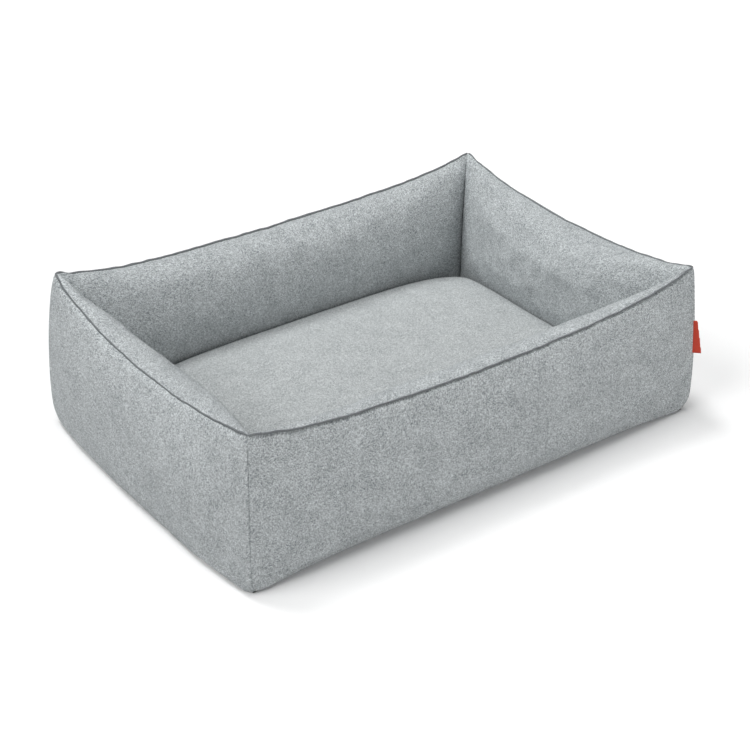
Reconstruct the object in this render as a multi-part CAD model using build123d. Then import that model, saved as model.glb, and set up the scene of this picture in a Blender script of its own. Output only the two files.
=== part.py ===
from build123d import *
import math
import os

# Dog bed: a padded rim of four walls sewn to a base cloth, with a loose mattress in its well.
# Millimetres. The origin is the middle of the base on the floor, +X runs along the long walls
# and +Z is up. A wall's section is drawn with n, the distance outside the base rectangle.

# --- Driving dimensions: the rim -------------------------------------------------------------
base_length = 800.0        # base rectangle along X, corner to corner
base_width = 552.0         # base rectangle along Y
corner_height = 246.0      # top of the pointed corners
front_height = 206.0       # top seam at the middle of the front wall, the lowest
back_height = 219.0
side_height = 211.0
seam_inset = 14.0          # the top seam lies this far inside the base rectangle
ear_power = 6              # how late the top seam turns up into its pointed corner
belly_power = 3.0          # how far along the walls keep their full belly
seam_gap = 0.15            # half the parting between two panels at a seam
ridge_width = 2.4          # the turned edge that stands on the top seam
ridge_height = 3.2
ridge_crown = 1.4          # its width at the top
ridge_lift = 0.5           # the turned edge stands this far above the panels' edges
under_roundness = 0.5      # below 1 the belly turns under late and tightly
corner_slant = 1.3         # above 1 a section runs flatter from its seam to its belly
fabric = 1.3               # upholstery cloth
fill_gap = 0.4             # between a cloth and the filling behind it

# Shape of the long walls, the short walls and the corners where they meet.
front_sag = 20.0           # part of the seam's rise that is spread along the whole wall
back_sag = 11.0
side_sag = 29.0
long_belly = 7.0           # outer belly, outside the base rectangle
short_belly = 22.0
corner_belly = 0.5
belly_height = 100.0       # height of the outer belly's widest line
corner_belly_height = 60.0
long_tuck = 30.0           # the base seam lies this far inside the base rectangle
short_tuck = 2.0
corner_tuck = 4.0
long_lap = 82.0            # inner belly, inside the base rectangle
short_lap = 90.0
corner_lap = 62.0
lap_height = 115.0         # height where the inner belly is fullest
corner_lap_height = 60.0
foot_set_back = 8.0        # the inner foot lies this far behind the inner belly
corner_foot_set_back = -8.0

# --- Driving dimensions: the base and the well -----------------------------------------------
base_cloth = 1.2           # coated cloth on the floor
lining_cloth = 1.0         # cloth on the well's floor
lining_lift = 0.5          # between the base cloth and the lining
lining_margin = 3.0        # the lining stops this far inside the inner panels

# --- Driving dimensions: the mattress --------------------------------------------------------
mattress_gap = 1.0         # between the mattress and the inner panels at their bellies
mattress_corner_gap = 4.0  # between its corners and the rim's inner corners
mattress_rest = 0.5        # between the lining and the mattress
mattress_seam_height = 42.0
mattress_crown = 100.0
long_crown_power = 5       # how near to its short edges the mattress stays at full height
short_crown_power = 4
long_edge_power = 0.20     # how steeply it rises there: the smaller, the steeper
short_edge_power = 0.17
corner_drop = 0.7          # share of the height that is missing at the corners
corner_drop_power = 2.5
mattress_roll = 24.0       # how far in the rounded edge of the underside reaches
under_depth_power = 0.7    # the shape of that rounded edge along the sides and at the corners
under_edge_power = 2.5
under_corner_power = 2.2
cover_cloth = 1.2
flange_width = 3.0         # turned edge where the cover's two panels are sewn together
flange_height = 2.0

# --- Driving dimensions: the zip in the mattress's underside ---------------------------------
zip_length = 420.0         # length of the coils
zip_offset = 90.0          # the zip lies this far behind the middle
channel_width = 26.0       # folded channel that the zip lies in
channel_depth = 7.0
slot_width = 10.0          # opening in the channel's roof
tape_width = 10.0
tape_cloth = 0.7
tape_parting = 1.4         # room for the slider's post between the two tapes
coil_width = 2.4
coil_height = 2.0
coil_round = 0.8
slider_length = 11.0
slider_width = 8.4
slider_plate = 1.1
slider_gap = 0.25          # between the slider and what it runs on
slider_waist = 5.0         # width of the slider's plates at their narrow end
post_length = 3.0
pull_length = 17.0
pull_width = 5.0
pull_plate = 0.9
pull_gap = 0.2             # play of the pull on its bridge
pull_bar = 1.2             # the pull's crossbar, under the bridge
pull_droop = 12.0          # degrees that the free pull hangs below level
bridge_wire = 1.0
bridge_span = 4.0
stop_length = 2.4
stop_width = 5.0
stop_gap = 0.15            # between a stop and the end of the coils

# --- Driving dimensions: the side label ------------------------------------------------------
label_height = 57.0
label_bottom = 97.0
label_top_reach = 6.0      # how far its top edge stands out of the corner seam
label_bottom_reach = 14.0
label_cloth = 0.9
label_gap = 0.8

half_length = base_length / 2
half_width = base_width / 2
lining_bottom = base_cloth + lining_lift
lining_top = lining_bottom + lining_cloth
mattress_bottom = lining_top + mattress_rest
STATIONS = [math.sin(math.radians(angle)) for angle in range(-90, 91, 10)]
MIDDLE = STATIONS.index(0.0)
ARC_STEPS = (0.0, 22.5, 45.0, 67.5, 90.0)
UNDER_STEPS = (0, 25, 55, 90)
CROWN_SCALES = (0.995, 0.97, 0.9, 0.75, 0.55, 0.3)
SIDES = [(t, -1) for t in STATIONS[:-1]] + [(1, t) for t in STATIONS[:-1]]
SIDES += [(-u, -v) for u, v in SIDES]

os.makedirs("parts", exist_ok=True)


def save(name, shape):
    shape.label = name
    export_step(shape, f"parts/{name}.step")


def blend(middle, corner, t):
    """A size part of the way along a wall: t is 0 at its middle and 1 at its corners."""
    return middle + (corner - middle) * abs(t) ** belly_power


def quarter(start, end, power):
    """Points of a quarter turn that starts level and ends upright; power 1 is an ellipse."""
    points = []
    for angle in ARC_STEPS:
        across = math.sin(math.radians(angle)) ** power
        down = 1 - math.cos(math.radians(angle)) ** power
        points.append((start[0] + (end[0] - start[0]) * across, start[1] + (end[1] - start[1]) * down))
    return points


# --- Sections of a wall ----------------------------------------------------------------------


def seam_height(t, middle, sag):
    """Height of the top seam: it sags along the wall and turns up into the corner's ear."""
    ear = corner_height - middle - sag
    return middle + sag * t**2 + ear * abs(t) ** ear_power


def outer_section(t, seam, belly, tuck):
    """An outer panel from its top seam, over the belly, to its base seam."""
    top = (-seam_inset + seam_gap, seam_height(t, *seam))
    widest = (blend(belly, corner_belly, t), blend(belly_height, corner_belly_height, t))
    base = (-blend(tuck, corner_tuck, t), base_cloth + fill_gap)
    under = quarter(base, widest, under_roundness)
    return quarter(top, widest, blend(1.0, corner_slant, t)) + under[-2::-1]


def foot_of(lap, t):
    """Where an inner panel's foot stands."""
    return blend(foot_set_back, corner_foot_set_back, t) - blend(lap, corner_lap, t)


def inner_section(t, seam, lap):
    """An inner panel from its top seam, over the shoulder, down to its foot."""
    top = (-seam_inset - seam_gap, seam_height(t, *seam))
    fullest = (-blend(lap, corner_lap, t), blend(lap_height, corner_lap_height, t))
    foot = (foot_of(lap, t), lining_bottom)
    return quarter(top, fullest, blend(1.0, corner_slant, t)) + [foot]


def inside(points, distance):
    """The same section moved into the wall: down at its top end, up at a level lower end."""
    top, foot = points[0], points[-1]
    side = 1 if points[1][0] > top[0] else -1
    moved = [(top[0], top[1] - distance)]
    for before, point, after in zip(points, points[1:], points[2:]):
        run, drop = after[0] - before[0], after[1] - before[1]
        shift = side * distance / math.hypot(run, drop)
        moved.append((point[0] + shift * drop, point[1] - shift * run))
    moved.append((foot[0], foot[1] + distance) if side > 0 else (foot[0] + distance, foot[1]))
    return moved


# --- Building along a wall -------------------------------------------------------------------


def on_front(t, n, z):
    return (t * (half_length + n), -half_width - n, z)


def on_right(t, n, z):
    return (half_length + n, t * (half_width + n), z)


def triangle(*corners):
    return Face(Wire.make_polygon(corners))


def flat_loft(rings, middle=0):
    """A loft of flat triangles through rings of points.

    Each four-sided patch is creased from the higher of its points nearer the middle ring, or of
    two as high from the one further out, so that both skins of a cloth are creased alike.
    """
    faces = [Face(Wire.make_polygon(rings[0])), Face(Wire.make_polygon(rings[-1]))]
    for index in range(len(rings) - 1):
        near, far = rings[index], rings[index + 1]
        if index < middle:
            near, far = far, near
        for i in range(len(near)):
            low, high = sorted((i - 1, i), key=lambda i: (round(near[i].Z, 6), near[i].length))
            faces.append(triangle(near[low], near[high], far[low]))
            faces.append(triangle(near[high], far[high], far[low]))
    return Solid(Shell(faces))


def along_wall(section, place, turn):
    """Loft a closed section of (n, z) points from corner to corner and turn it round the bed."""
    rings = []
    for station in STATIONS:
        t = station * (1 - seam_gap / half_width)
        rings.append([Vector(*place(t, n, z)) for n, z in section(t)])
    return flat_loft(rings, MIDDLE).rotate(Axis.Z, turn)


def strip(skin):
    """A panel of cloth: the given face and the same face one cloth further in."""
    return lambda t: skin(t) + inside(skin(t), fabric)[::-1]


def ridge(seam):
    """The turned seam allowance that stands up along the top of a wall."""

    def section(t):
        low = seam_height(t, *seam) + ridge_lift
        foot, crown = ridge_width / 2, ridge_crown / 2
        corners = ((-foot, 0), (foot, 0), (crown, ridge_height), (-crown, ridge_height))
        return [(-seam_inset + across, low + up) for across, up in corners]

    return section


def filling(outer, inner):
    """Loose fibre between an outer and an inner panel, flat underneath."""

    def section(t):
        front = inside(outer(t), fabric + fill_gap)
        rear = inside(inner(t), fabric + fill_gap)
        return [(-seam_inset, front[0][1])] + front[1:] + rear[:0:-1]

    return section


LONG = (long_belly, long_tuck, long_lap, on_front)
SHORT = (short_belly, short_tuck, short_lap, on_right)
WALLS = {
    "front": ((front_height, front_sag), *LONG, 0),
    "right": ((side_height, side_sag), *SHORT, 0),
    "back": ((back_height, back_sag), *LONG, 180),
    "left": ((side_height, side_sag), *SHORT, 180),
}

for name, (seam, belly, tuck, lap, place, turn) in WALLS.items():

    def outer(t):
        return outer_section(t, seam, belly, tuck)

    def inner(t):
        return inner_section(t, seam, lap)

    save(f"outer_panel_{name}", along_wall(strip(outer), place, turn))
    save(f"inner_panel_{name}", along_wall(strip(inner), place, turn))
    save(f"wall_filling_{name}", along_wall(filling(outer, inner), place, turn))
    save(f"top_seam_{name}", along_wall(ridge(seam), place, turn))


# --- Base cloth and the well's lining --------------------------------------------------------


def four_sides(n_long, n_short, z):
    """A ring of points whose four sides follow n along the long and the short walls."""
    front = [on_front(t, n_long(t), z) for t in STATIONS]
    right = [on_right(t, n_short(t), z) for t in STATIONS]
    half = [Vector(*point) for point in front[:-1] + right[:-1]]
    return half + [Vector(-point.X, -point.Y, point.Z) for point in half]


def sheet(outline, thickness):
    return Solid.extrude(Face(Wire.make_polygon(outline)), Vector(0, 0, thickness))


def base_edge(tuck):
    return lambda t: -blend(tuck, corner_tuck, t)


def well_edge(lap):
    return lambda t: foot_of(lap, t) - lining_margin


base_outline = four_sides(base_edge(long_tuck), base_edge(short_tuck), 0)
save("base_panel", sheet(base_outline, base_cloth))
lining_outline = four_sides(well_edge(long_lap), well_edge(short_lap), lining_bottom)
save("well_lining", sheet(lining_outline, lining_cloth))

# --- Mattress --------------------------------------------------------------------------------


def mattress_outline(z, inset, corner_inset):
    """A ring round the mattress at one height, moved in from its seam."""
    corner = -(corner_lap + mattress_corner_gap) - corner_inset
    return four_sides(
        lambda t: blend(-(long_lap + mattress_gap) - inset, corner, t),
        lambda t: blend(-(short_lap + mattress_gap) - inset, corner, t),
        z,
    )


def crown_share(u, v):
    """Share of the crown's height where u is 1 at the short edges and v is 1 at the long ones."""
    along = (1 - u**long_crown_power) ** long_edge_power
    across = (1 - v**short_crown_power) ** short_edge_power
    return along * across * (1 - corner_drop * (u * v) ** corner_drop_power)


def mattress_top(start, shrink):
    """The mattress from the height start up, made smaller all round by shrink."""
    edge = mattress_outline(start, flange_width + shrink, flange_width + shrink)
    rings = [edge]
    for scale in CROWN_SCALES:
        ring = []
        for point, (u, v) in zip(edge, SIDES):
            level = scale == CROWN_SCALES[-1]
            share = 1 if level else crown_share(scale * abs(u), scale * abs(v))
            z = mattress_seam_height + share * (mattress_crown - mattress_seam_height) - shrink
            ring.append(Vector(scale * point.X, scale * point.Y, z))
        rings.append(ring)
    return flat_loft(rings)


def mattress_bottom_half(start, shrink):
    """The mattress from the height start down to its flat underside, made smaller by shrink."""
    rings = []
    for turn in UNDER_STEPS:
        rise = math.sin(math.radians(turn))
        depth = rise**under_depth_power * (mattress_seam_height - mattress_bottom)
        z = start if turn == 0 else mattress_seam_height - depth + shrink
        inset = mattress_roll * rise**under_edge_power + flange_width + shrink
        corner_inset = mattress_roll * rise**under_corner_power + flange_width + shrink
        rings.append(mattress_outline(z, inset, corner_inset))
    return flat_loft(rings)


seam_top = mattress_seam_height + flange_height / 2
seam_bottom = mattress_seam_height - flange_height / 2
cover_inside = cover_cloth + fill_gap
top_skin = mattress_top(seam_top, 0) - mattress_top(seam_top, cover_cloth)
under_skin = mattress_bottom_half(seam_bottom, 0) - mattress_bottom_half(seam_bottom, cover_cloth)
core = mattress_top(mattress_seam_height, cover_inside)
core += mattress_bottom_half(mattress_seam_height, cover_inside)
flange = sheet(mattress_outline(seam_bottom, 0, 0), flange_height)
flange -= sheet(mattress_outline(seam_bottom, flange_width, flange_width), flange_height)

# --- Zip in the mattress's underside ---------------------------------------------------------

roof = mattress_bottom + channel_depth          # underside of the channel's roof
tape_bottom = roof + cover_cloth + seam_gap
tape_top = tape_bottom + tape_cloth
coil_bottom = tape_bottom - coil_height
tape_length = zip_length + 2 * (stop_length + slider_length)


def zip_box(length, width, low, high, y=0.0, x=0.0):
    """A box along the zip, from the height low to the height high."""
    return Pos(x, zip_offset + y, (low + high) / 2) * Box(length, width, high - low)


channel_length = tape_length + 2 * cover_cloth
channel_outside = zip_box(
    channel_length + 2 * cover_cloth, channel_width + 2 * cover_cloth, mattress_bottom, roof + cover_cloth
)
channel_inside = zip_box(channel_length, channel_width, mattress_bottom, roof)
slot = zip_box(tape_length - 2 * cover_cloth, slot_width, roof, roof + cover_cloth)
underside = under_skin - channel_outside + (channel_outside - channel_inside - slot)

slider_low = coil_bottom - slider_gap - slider_plate
slider_high = tape_top + slider_gap + slider_plate
groove_top = slider_high + fill_gap
core -= zip_box(
    channel_length + 2 * cover_inside, channel_width + 2 * cover_inside, mattress_bottom, tape_top + fill_gap
)
core -= zip_box(channel_length, slider_width + 2 * fill_gap, mattress_bottom, groove_top)

save("mattress_top_panel", top_skin)
save("mattress_underside", underside)
save("mattress_filling", core)
save("mattress_edge_seam", flange)


def coil(side):
    """One row of coil turns, rounded along its free side."""
    middle = side * (tape_parting + coil_width) / 2
    row = zip_box(zip_length, coil_width, coil_bottom, tape_bottom, middle)
    lower = row.edges().filter_by(Axis.X).group_by(Axis.Z)[0]
    return fillet(lower, coil_round)


rest_x = -zip_length / 2 + slider_length / 2    # the slider waits at the closed end
for name, side in (("back", 1), ("front", -1)):
    middle = side * (tape_parting + tape_width) / 2
    save(f"zip_tape_{name}", zip_box(tape_length, tape_width, tape_bottom, tape_top, middle))
    save(f"zip_coil_{name}", coil(side))
for name, side in (("closed", -1), ("open", 1)):
    stop_x = side * ((zip_length + stop_length) / 2 + stop_gap)
    save(f"zip_stop_{name}", zip_box(stop_length, stop_width, coil_bottom, tape_bottom, 0, stop_x))


def slider_plate_solid(low):
    """A slider plate, broad at its mouth and narrow at its waist, seen from above."""
    back, front = rest_x - slider_length / 2, rest_x + slider_length / 2
    wide, narrow = slider_width / 2, slider_waist / 2
    with BuildPart() as part:
        with BuildSketch(Plane.XY.offset(low)):
            with BuildLine():
                Polyline((front, wide), (rest_x, wide), (back, narrow), (back, -narrow), (rest_x, -wide))
                Polyline((rest_x, -wide), (front, -wide), (front, wide))
            make_face()
        extrude(amount=slider_plate)
    return Pos(0, zip_offset, 0) * part.part


post_x = rest_x + slider_length / 2 - post_length / 2 - slider_plate
post_width = tape_parting - 2 * slider_gap
slider = slider_plate_solid(slider_low) + slider_plate_solid(slider_high - slider_plate)
slider += zip_box(post_length, post_width, slider_low, slider_high, 0, post_x)
bridge_low = slider_low - pull_plate - 2 * pull_gap - bridge_wire
bridge = zip_box(bridge_span + 2 * bridge_wire, bridge_wire, bridge_low, slider_low, 0, rest_x)
bridge -= zip_box(bridge_span, bridge_wire, bridge_low + bridge_wire, slider_low, 0, rest_x)
slider += bridge
save("zip_slider", slider)

pull_low = bridge_low + bridge_wire + pull_gap
leg_x = rest_x - (bridge_span + bridge_wire) / 2
leg_room = bridge_wire + 2 * pull_gap
pull_end = leg_x + leg_room / 2 + pull_bar
pull = zip_box(pull_length, pull_width, pull_low, pull_low + pull_plate, 0, pull_end - pull_length / 2)
pull -= zip_box(leg_room, leg_room, pull_low, pull_low + pull_plate, 0, leg_x)
pull_pivot = Axis((pull_end - pull_bar / 2, zip_offset, pull_low + pull_plate / 2), (0, 1, 0))
pull = pull.rotate(pull_pivot, -pull_droop)
save("zip_pull", pull)

# --- Side label, sewn into the front right corner seam ---------------------------------------



def corner_reach(height):
    """How far the corner seam stands out of the base rectangle's corner, along the diagonal."""
    corner = outer_section(1, (front_height, front_sag), long_belly, long_tuck)
    for (n, z), (next_n, next_z) in zip(corner, corner[1:]):
        if next_z <= height <= z:
            return math.sqrt(2) * (n + (next_n - n) * (z - height) / (z - next_z))


label_top = label_bottom + label_height
low_root = corner_reach(label_bottom) + label_gap
high_root = corner_reach(label_top) + label_gap
with BuildPart() as label:
    with BuildSketch(Plane.XZ):
        with BuildLine():
            Polyline(
                (low_root, label_bottom),
                (low_root + label_bottom_reach, label_bottom),
                (high_root + label_top_reach, label_top),
                (high_root, label_top),
                close=True,
            )
        make_face()
    extrude(amount=label_cloth / 2, both=True)
save("side_label", Pos(half_length, -half_width, 0) * Rot(0, 0, -45) * label.part)
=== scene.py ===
import math

import bmesh
import bpy
from mathutils import Matrix, Vector, noise


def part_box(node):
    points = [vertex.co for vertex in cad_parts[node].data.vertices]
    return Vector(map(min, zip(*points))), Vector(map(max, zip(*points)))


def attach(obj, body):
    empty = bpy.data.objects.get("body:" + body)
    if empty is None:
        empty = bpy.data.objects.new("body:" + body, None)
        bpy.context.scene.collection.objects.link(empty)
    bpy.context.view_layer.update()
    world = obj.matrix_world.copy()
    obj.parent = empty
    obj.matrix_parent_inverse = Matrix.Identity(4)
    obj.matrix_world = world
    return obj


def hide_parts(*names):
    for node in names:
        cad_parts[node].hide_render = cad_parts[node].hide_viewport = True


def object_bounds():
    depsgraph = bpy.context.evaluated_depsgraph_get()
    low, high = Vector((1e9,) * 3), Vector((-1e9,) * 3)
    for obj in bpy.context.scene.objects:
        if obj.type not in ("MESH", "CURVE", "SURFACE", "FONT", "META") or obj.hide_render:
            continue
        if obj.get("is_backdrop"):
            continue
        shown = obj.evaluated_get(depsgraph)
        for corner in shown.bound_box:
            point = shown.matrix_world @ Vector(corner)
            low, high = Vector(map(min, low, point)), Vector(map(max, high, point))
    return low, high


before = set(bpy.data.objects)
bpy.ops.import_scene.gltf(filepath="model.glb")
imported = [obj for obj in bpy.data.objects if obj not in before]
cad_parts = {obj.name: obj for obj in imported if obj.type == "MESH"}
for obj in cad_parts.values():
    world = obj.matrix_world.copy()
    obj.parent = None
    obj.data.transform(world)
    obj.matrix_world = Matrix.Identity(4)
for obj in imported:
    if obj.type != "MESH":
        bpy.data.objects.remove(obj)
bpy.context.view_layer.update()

# ------------------------------
# The studio: a wide white floor, a faint even sky and five large lamps, which leave soft shadows in
# front of the bed and to its right.
# ------------------------------


def linear(code):
    """An sRGB hex colour as the linear colour that a shader's socket takes."""
    shares = [int(code[place : place + 2], 16) / 255 for place in (0, 2, 4)]
    return [s / 12.92 if s <= 0.04045 else ((s + 0.055) / 1.055) ** 2.4 for s in shares] + [1.0]


def add(tree, kind, inputs=None, **settings):
    """Adds one node. Settings are its own properties, and inputs its sockets' values or their sources."""
    made = tree.nodes.new("ShaderNode" + kind)
    for name, value in settings.items():
        setattr(made, name, value)
    for name, value in (inputs or {}).items():
        if isinstance(value, bpy.types.NodeSocket):
            tree.links.new(value, made.inputs[name])
        else:
            made.inputs[name].default_value = value
    return made


def new_material(name):
    """An empty material with its output, ready for a shader."""
    material = bpy.data.materials.new(name)
    material.use_nodes = True
    material.node_tree.nodes.clear()
    return material, material.node_tree


def surface(tree, shader):
    """Joins a shader to the material's output."""
    add(tree, "OutputMaterial", {"Surface": shader.outputs[0]})


def mesh_of(name, shape):
    """The mesh of a bmesh, which is then freed."""
    data = bpy.data.meshes.new(name)
    shape.to_mesh(data)
    shape.free()
    return data


def seen_directly(tree):
    """1 for what is seen, by the camera or in metal and glass, and 0 for what only lights other things."""
    path = add(tree, "LightPath")
    camera_ray, glossy_ray = path.outputs["Is Camera Ray"], path.outputs["Is Glossy Ray"]
    seen = add(tree, "Math", {0: camera_ray, 1: glossy_ray}, operation="MAXIMUM")
    either = {0: seen.outputs[0], 1: path.outputs["Is Transmission Ray"]}
    return add(tree, "Math", either, operation="MAXIMUM")


# Matt paper: plain white where it is seen, and a little darker as it throws light back at the bed.
paper, tree = new_material("white_paper_floor")
seen = seen_directly(tree)
tones = {"Factor": seen.outputs[0], "A": linear("CCCCCC"), "B": linear("FFFFFF")}
paper_tone = add(tree, "Mix", tones, data_type="RGBA")
surface(tree, add(tree, "BsdfDiffuse", {"Color": paper_tone.outputs["Result"]}))

floor_reach = 14.0
floor_mesh = bmesh.new()
bmesh.ops.create_grid(floor_mesh, x_segments=1, y_segments=1, size=floor_reach)
floor_data = mesh_of("floor", floor_mesh)
floor = bpy.data.objects.new("floor", floor_data)
bpy.context.scene.collection.objects.link(floor)
floor_data.materials.append(paper)
floor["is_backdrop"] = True

world = bpy.data.worlds.new("bright_sky")
bpy.context.scene.world = world
world.use_nodes = True
tree = world.node_tree
tree.nodes.clear()
seen = seen_directly(tree)
level = add(tree, "Mix", {"Factor": seen.outputs[0], "A": 0.08, "B": 1.0}, data_type="FLOAT")
sky = add(tree, "Background", {"Color": linear("FFFFFF"), "Strength": level.outputs["Result"]})
add(tree, "OutputWorld", {"Surface": sky.outputs[0]})

# Each lamp's strength, the direction it stands in, and how wide it looks, in degrees.
for name, energy, towards, spread in (
    ("back_lamp", 1.00, (-0.12, 0.42, 1.0), 16),
    ("side_lamp", 1.46, (-0.80, 0.10, 0.7), 40),
    ("top_lamp", 1.12, (0.0, 0.0, 1.0), 40),
    ("front_lamp", 1.02, (0.15, -1.0, 0.12), 40),
    ("fill_lamp", 0.42, (0.25, -1.0, 0.60), 40),
):
    lamp_data = bpy.data.lights.new(name, "SUN")
    lamp_data.energy = energy
    lamp_data.angle = math.radians(spread)
    lamp = bpy.data.objects.new(name, lamp_data)
    bpy.context.scene.collection.objects.link(lamp)
    lamp.rotation_euler = Vector(towards).to_track_quat("Z", "Y").to_euler()

camera_data = bpy.data.cameras.new("camera")
camera = bpy.data.objects.new("camera", camera_data)
bpy.context.scene.collection.objects.link(camera)
bpy.context.scene.camera = camera
camera_data.sensor_width = 36.0
camera_data.lens = 83.106
camera_data.clip_start, camera_data.clip_end = 0.05, 100.0
turn, tilt = math.radians(-36.10), math.radians(30.40)
backwards = Vector((math.sin(turn) * math.cos(tilt), -math.cos(turn) * math.cos(tilt), math.sin(tilt)))
camera.location = (-1.33115, -1.82730, 1.39687)
camera.rotation_mode = "QUATERNION"
camera.rotation_quaternion = (-backwards).to_track_quat("-Z", "Y")

bpy.context.scene.view_settings.view_transform = "Standard"

# ------------------------------
# The outer panels: four lengths of woven polyester in a grey melange, cut so that each wall
# bellies between its corners. They are sewn to each other at the corners, to the base below and
# to the inner panels along the top seam, and the loose filling behind keeps them full.
# ------------------------------

half_length, half_width = 0.400, 0.276
seam_inset = 0.014
cloth_thickness = 0.0013
corner_tuck = 0.004  # the base seam's tuck at the corners
base_seam = 0.0016  # its height
# The lowest end of each corner seam is drawn in, because the filling doesn't reach it.
lowest_corner_inset = 0.005

# Each corner's height, how far its tip leans in from the base rectangle, how far the seam below
# it stands out, how straight it runs, and the dip in the top seams beside it. No two are alike.
front_left = {"top": 0.242, "lean": 0.014, "out": 0.0005, "slant": 1.25, "pucker": 0.0004}
front_right = {"top": 0.2455, "lean": 0.0125, "out": -0.0008, "slant": 1.3, "pucker": 0.0004}
back_right = {"top": 0.246, "lean": 0.014, "out": 0.0005, "slant": 1.25, "pucker": 0.0007}
back_left = {"top": 0.2525, "lean": 0.017, "out": 0.0022, "slant": 1.25, "pucker": 0.0016}

# How far the outer panel bellies out and its base seam is tucked in, and how far the inner panel
# laps into the well, all from the base rectangle. The back and left walls are made in the place of
# the front and right ones and then turned. Then come the top seam's height at the wall's middle,
# its sag, how far the inner panel rolls up over it, and the wall's corners.
long_cut = {"long": True, "belly": 0.007, "tuck": 0.030, "lap": 0.082, "length": half_length}
short_cut = {"long": False, "belly": 0.022, "tuck": 0.002, "lap": 0.090, "length": half_width}
walls = {
    "front": {**long_cut, "turned": 0, "middle": 0.206, "sag": 0.020, "roll": 0.0055},
    "right": {**short_cut, "turned": 0, "middle": 0.214, "sag": 0.024, "roll": 0.003, "lap": 0.096},
    "back": {**long_cut, "turned": 180, "middle": 0.2195, "sag": 0.011, "roll": 0.004},
    "left": {**short_cut, "turned": 180, "middle": 0.207, "sag": 0.033, "roll": 0.003},
}
walls["front"]["ends"] = (front_left, front_right)
walls["right"]["ends"] = (front_right, back_right)
walls["back"]["ends"] = (back_right, back_left)
walls["left"]["ends"] = (back_left, front_left)


def blend(middle, corner, t):
    """A size part of the way along a wall: t is 0 at its middle and 1 at its corners."""
    return middle + (corner - middle) * abs(t) ** 3


def quarter(start, end, power):
    """Points of a quarter turn that starts level and ends upright; power 1 is an ellipse."""
    turns = [math.radians(5 * step) for step in range(18)] + [math.pi / 2]
    return [
        (
            start[0] + (end[0] - start[0]) * math.sin(a) ** power,
            start[1] + (end[1] - start[1]) * (1 - max(math.cos(a), 0) ** power),
        )
        for a in turns
    ]


def seam_point(t, wall):
    """The top seam, as (outside, height): it sags along the wall and turns up into the corner's ear.

    The stitching draws the cloth in unevenly, so between the corners it wanders by about 1 mm."""
    corner = wall["ends"][t > 0]
    ear = corner["top"] - wall["middle"] - wall["sag"]
    height = wall["middle"] + wall["sag"] * t**2 + ear * abs(t) ** 6
    inset = seam_inset + (corner["lean"] - seam_inset) * abs(t) ** 12
    to_corner = (1 - abs(t)) * wall["length"]
    along = t * wall["length"]
    free = min(1, to_corner / 0.012)
    # Each wall reads its own part of the noise, which it finds by its height.
    where = Vector((along * 24, wall["middle"] * 97, 0.7))
    inset += free * (0.0012 * noise.noise(where) + 0.0006 * noise.noise(where * 2.7))
    wander = 0.0009 * noise.noise(where + Vector((0, 0, 9))) - 0.0016 * abs(noise.noise(where * 1.4))
    height += free * wander
    # The corner's stitching pulls its tip down by 2 mm, and puckers the cloth 26 mm from it.
    height -= 0.0020 * math.exp(-((to_corner / 0.007) ** 2))
    height -= corner["pucker"] * math.exp(-(((to_corner - 0.026) / 0.008) ** 2))
    return -inset, height


def outer_section(t, wall):
    """An outer panel from its top seam, over the belly, to its base seam, as (outside, height) points."""
    corner = wall["ends"][t > 0]
    # The belly is widest 100 mm up at the wall's middle, and 60 mm up at its corners.
    widest = (blend(wall["belly"], corner["out"], t), blend(0.100, 0.060, t))
    base = (-blend(wall["tuck"], corner_tuck, t), base_seam)
    upper = quarter(seam_point(t, wall), widest, blend(1.0, corner["slant"], t))
    lower = quarter(base, widest, blend(0.5, 0.8, t))
    return upper + lower[-2::-1]


def run_length(run):
    """The length of a line of points."""
    return sum(math.dist(a, b) for a, b in zip(run, run[1:]))


def point_at(run, share):
    """The point at a share of a run's length."""
    left = share * run_length(run)
    for a, b in zip(run, run[1:]):
        step = math.dist(a, b)
        if left <= step or b is run[-1]:
            part = min(left / max(step, 1e-9), 1.0)
            return tuple(p + (q - p) * part for p, q in zip(a, b))
        left -= step


def crowd(x, share):
    """Moves grid lines from -1 to 1 towards both ends, where the seams pull the cloth in."""
    return (1 - share) * x + share * math.sin(x * math.pi / 2)


def place(wall, t, n, z):
    """The point at t along a wall, n outside the base rectangle and z up, before the wall is turned."""
    if wall["long"]:
        return Vector((t * (half_length + n), -half_width - n, z))
    return Vector((half_length + n, t * (half_width + n), z))


def finish_piece(name, shape, material, body):
    """Makes an object of a bmesh, in place, smooth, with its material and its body."""
    data = mesh_of(name, shape)
    data.materials.append(material)
    data.shade_smooth()
    piece = bpy.data.objects.new(name, data)
    bpy.context.scene.collection.objects.link(piece)
    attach(piece, body)
    return piece


def cloth_grid(columns, rows):
    """A flat grid from -1 to 1 each way, with a UV map, to be laid over a piece."""
    shape = bmesh.new()
    shape.loops.layers.uv.new("UVMap")
    bmesh.ops.create_grid(shape, x_segments=columns, y_segments=rows, size=1, calc_uvs=True)
    return shape


def lay_weave(shape, cut):
    """Writes each point's place on the flat cloth, in metres, into the UV map that the weave follows."""
    uv = shape.loops.layers.uv["UVMap"]
    for face in shape.faces:
        for loop in face.loops:
            loop[uv].uv = cut[loop.vert]


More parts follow.
